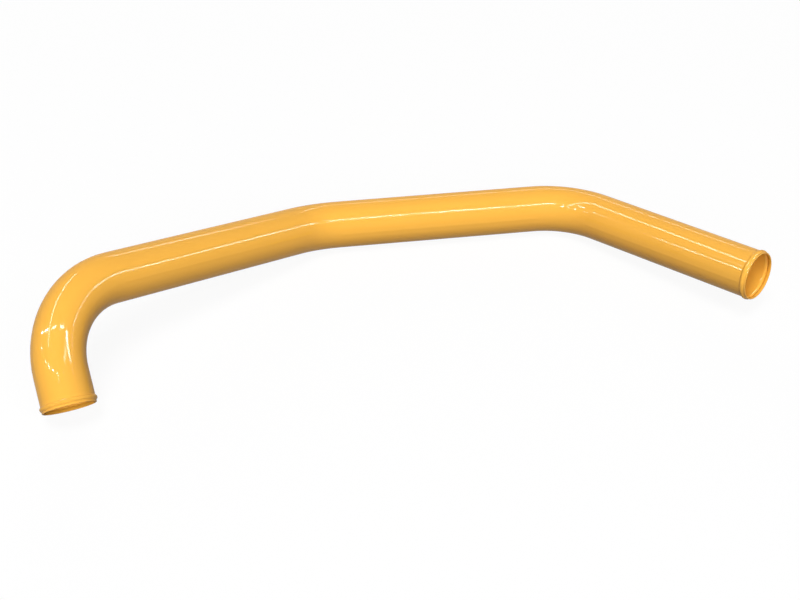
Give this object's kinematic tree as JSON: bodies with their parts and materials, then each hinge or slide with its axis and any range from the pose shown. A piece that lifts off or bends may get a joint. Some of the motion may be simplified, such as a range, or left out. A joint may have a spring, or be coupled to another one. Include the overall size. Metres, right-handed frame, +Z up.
{
  "type": "aftercooler air tube",
  "caption": "Bent steel charge-air tube with a rolled hose bead near each mouth, painted glossy yellow. It carries air between a truck engine's aftercooler and its intake.",
  "frame": {"origin": "on the floor, under the middle of the part's bounding box", "axes": "+Z up from the floor that the tube lies on; +X along the straight run that lies on the floor, from the short leg's side to the end run's side; both mouths point towards -Y"},
  "size_m": [1.1148, 0.4601, 0.1598],
  "materials": {
    "yellow_paint": "gloss"
  },
  "bodies": {
    "root": {"air_tube": "yellow_paint"}
  },
  "joints": []
}
